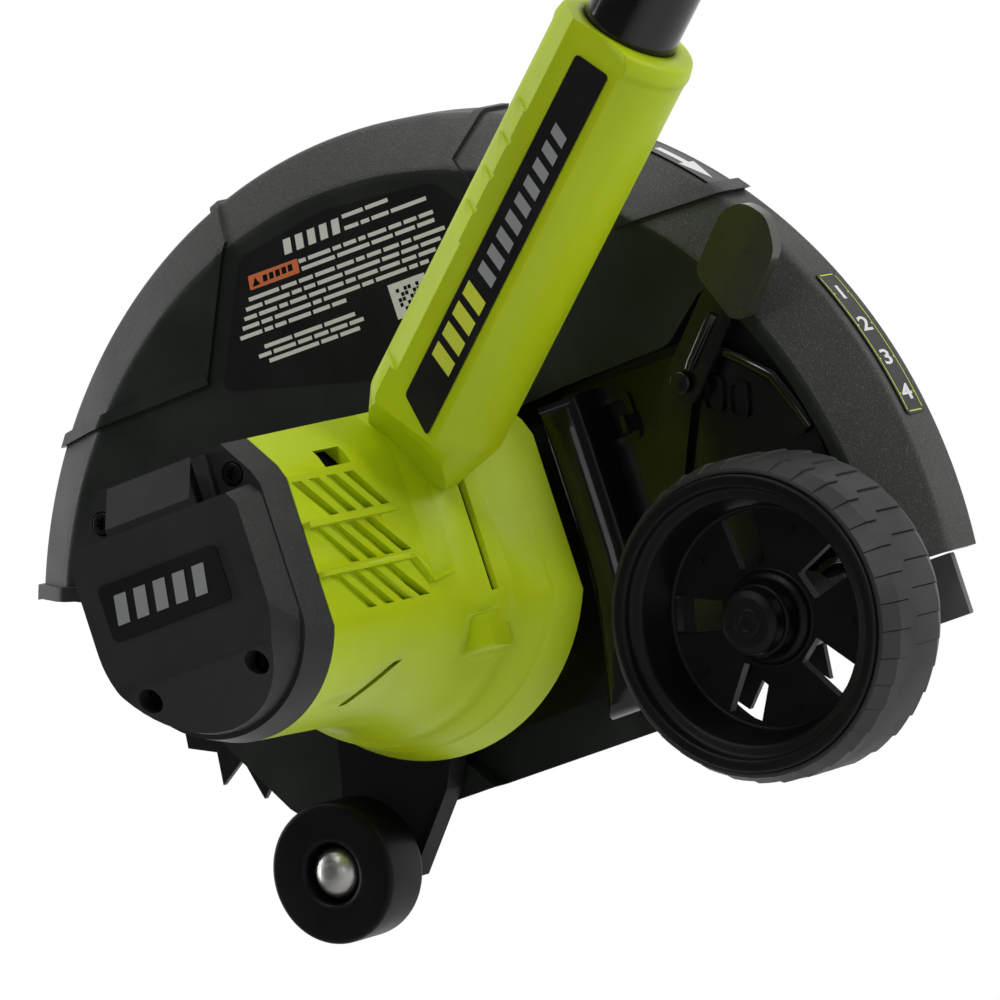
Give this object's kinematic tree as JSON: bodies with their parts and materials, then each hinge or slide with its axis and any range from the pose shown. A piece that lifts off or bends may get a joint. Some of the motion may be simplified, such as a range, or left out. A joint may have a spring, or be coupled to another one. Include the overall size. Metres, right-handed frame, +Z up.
{
  "type": "lawn edger",
  "caption": "Walk-behind battery lawn edger: motor head with half-round blade guard, edging blade, two wheels with a depth lever, shaft, loop handle and trigger handle.",
  "frame": {"origin": "centre of the blade spindle's free end face", "axes": "+Y along the spindle out of the guard's open side, +X to the rear (the user), +Z up; the wheels' contact line is level with X"},
  "size_m": [1.3532, 0.1608, 1.032],
  "materials": {
    "lime_plastic": "satin moulded lime-green plastic",
    "charcoal_plastic": "fine spark-textured charcoal plastic",
    "guard_plastic": "satin dark grey-green plastic, speckled on the bevel",
    "black_plastic": "smooth black moulded plastic",
    "black_steel": "glossy black paint on stamped steel",
    "blade_steel": "black oxide on blade steel",
    "steel": "bright zinc-plated or polished steel",
    "aluminium": "die-cast",
    "brass": "sintered brass",
    "rubber": "matt black rubber",
    "label": "gloss black adhesive label",
    "olive_plastic": "smoked olive plastic"
  },
  "bodies": {
    "machine": {"guard_shell": "guard_plastic", "rear_flap": "rubber", "info_label": "label", "depth_scale_label": "label", "arrow_label": "label", "guard_screw_1": "steel", "guard_screw_2": "steel", "guard_screw_3": "steel", "motor_housing": "lime_plastic", "end_cap": "charcoal_plastic", "cap_badge": "label", "housing_decal": "label", "cap_screw_1": "steel", "cap_screw_2": "steel", "cap_screw_3": "steel", "cap_screw_4": "steel", "motor_can": "steel", "gear_plate": "aluminium", "rear_bearing": "steel", "front_bearing": "steel", "front_wheel_arm": "black_steel", "front_axle": "steel", "front_axle_nut": "steel", "lower_tube": "black_steel", "upper_tube": "black_steel", "shaft_coupler": "charcoal_plastic", "handle_left": "lime_plastic", "handle_right": "lime_plastic", "switch_block": "black_plastic", "trigger_spring": "steel"},
    "spindle_set": {"spindle": "steel", "drive_gear": "brass", "inner_flange": "steel", "blade": "blade_steel", "outer_washer": "steel", "blade_nut": "steel"},
    "motor_rotor": {"motor_shaft": "steel", "pinion": "steel", "cooling_fan": "black_plastic"},
    "depth_bracket": {"wheel_bracket": "black_steel", "rear_axle": "steel", "rear_axle_nut": "steel", "lever_pin": "steel", "lever_spring": "steel"},
    "lever": {"depth_lever": "black_steel", "lever_grip": "olive_plastic"},
    "rear_wheel_set": {"rear_wheel": "black_plastic", "rear_tyre": "rubber", "hub_cap": "black_plastic"},
    "front_wheel_set": {"front_wheel": "black_plastic"},
    "loop_handle": {"front_handle": "black_plastic", "handle_clamp": "charcoal_plastic"},
    "loop_knob": {"handle_knob": "charcoal_plastic"},
    "joint_knob": {"coupler_knob": "charcoal_plastic"},
    "trigger_body": {"trigger": "black_plastic"},
    "lock_off": {"lock_off_button": "charcoal_plastic"},
    "battery": {"battery_pack": "charcoal_plastic"},
    "latch_l": {"latch_left": "lime_plastic"},
    "latch_r": {"latch_right": "lime_plastic"}
  },
  "joints": [
    {"name": "blade_spin", "type": "hinge", "parent": "machine", "child": "spindle_set", "pos_m": [0, 0, 0], "axis": [0, 1, 0], "continuous": true},
    {"name": "rotor_spin", "type": "hinge", "parent": "machine", "child": "motor_rotor", "pos_m": [0, 0, 0.026], "axis": [0, 1, 0], "continuous": true},
    {"name": "depth_adjust", "type": "hinge", "parent": "machine", "child": "depth_bracket", "pos_m": [0, 0, 0], "axis": [0, 1, 0], "range_deg": [0, 26]},
    {"name": "lever_release", "type": "hinge", "parent": "depth_bracket", "child": "lever", "pos_m": [0.098, -0.0326, 0.0515], "axis": [0.682, 0, -0.7314], "range_deg": [0, 7], "stiffness_Nm_per_rad": 1.2, "springref_deg": -5.73, "deforming": ["lever_spring"]},
    {"name": "rear_wheel_spin", "type": "hinge", "parent": "depth_bracket", "child": "rear_wheel_set", "pos_m": [0.1235, -0.0685, -0.02], "axis": [0, 1, 0], "continuous": true},
    {"name": "front_wheel_spin", "type": "hinge", "parent": "machine", "child": "front_wheel_set", "pos_m": [-0.046, -0.052, -0.0465], "axis": [0, 1, 0], "continuous": true},
    {"name": "front_handle_slide", "type": "slide", "parent": "machine", "child": "loop_handle", "axis": [0.7771, 0, 0.6293], "range_m": [-0.1, 0.15]},
    {"name": "handle_knob_turn", "type": "hinge", "parent": "loop_handle", "child": "loop_knob", "pos_m": [0.68055, -0.099, 0.55214], "axis": [-0.6293, 0, 0.7771], "continuous": true},
    {"name": "coupler_knob_turn", "type": "hinge", "parent": "machine", "child": "joint_knob", "pos_m": [0.49737, -0.1096, 0.42877], "axis": [0, 1, 0], "continuous": true},
    {"name": "trigger_pull", "type": "hinge", "parent": "machine", "child": "trigger_body", "pos_m": [0.95445, -0.078, 0.80661], "axis": [0, -1, 0], "range_deg": [0, 8], "stiffness_Nm_per_rad": 0.6, "springref_deg": -8.59, "deforming": ["trigger_spring"]},
    {"name": "lock_off_press", "type": "slide", "parent": "machine", "child": "lock_off", "axis": [0.6293, 0, -0.7771], "range_m": [0, 0.004], "stiffness_N_per_m": 300, "springref_m": -0.002},
    {"name": "battery_slide", "type": "slide", "parent": "machine", "child": "battery", "axis": [0.7771, 0, 0.6293], "range_m": [0, 0.095]},
    {"name": "latch_left_press", "type": "slide", "parent": "battery", "child": "latch_l", "axis": [0, 1, 0], "range_m": [0, 0.0025], "stiffness_N_per_m": 400, "springref_m": -0.001},
    {"name": "latch_right_press", "type": "slide", "parent": "battery", "child": "latch_r", "axis": [0, -1, 0], "range_m": [0, 0.0025], "stiffness_N_per_m": 400, "springref_m": -0.001}
  ],
  "couplings": [
    {"joint": "rotor_spin", "follows": "blade_spin", "ratio": -2.7143}
  ]
}
